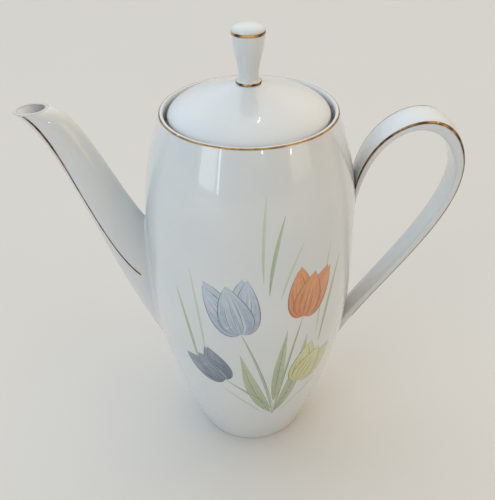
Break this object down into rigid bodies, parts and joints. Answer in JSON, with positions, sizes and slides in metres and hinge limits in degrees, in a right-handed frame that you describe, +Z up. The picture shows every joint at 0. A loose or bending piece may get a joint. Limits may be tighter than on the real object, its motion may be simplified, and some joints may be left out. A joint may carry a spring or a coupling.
{
  "type": "coffee pot",
  "caption": "Tall round porcelain coffee pot with a curved spout, a strap handle, and a lift-off lid with a waisted knob seated inside the rim.",
  "frame": {"origin": "centre of the foot ring, on the plane the pot stands on", "axes": "+Z up along the axis of the body; -X towards the spout, +X towards the handle; the plane y = 0 halves the pot"},
  "size_m": [0.2328, 0.115, 0.2519],
  "materials": {
    "porcelain": "glossy clear glaze over white porcelain",
    "gilding": "bright burnished gold line"
  },
  "bodies": {
    "pot": {"pot_body": "porcelain", "spout": "porcelain", "handle": "porcelain", "rim_gilt": "gilding", "spout_lip_gilt": "gilding", "spout_line_front": "gilding", "spout_line_back": "gilding", "handle_line_front": "gilding", "handle_line_back": "gilding"},
    "lid": {"lid": "porcelain", "knob": "porcelain", "knob_band_gilt": "gilding", "knob_foot_gilt": "gilding"}
  },
  "joints": [
    {"name": "lid_lift", "type": "slide", "parent": "pot", "child": "lid", "axis": [0, 0, 1], "range_m": [0, 0.08]}
  ]
}
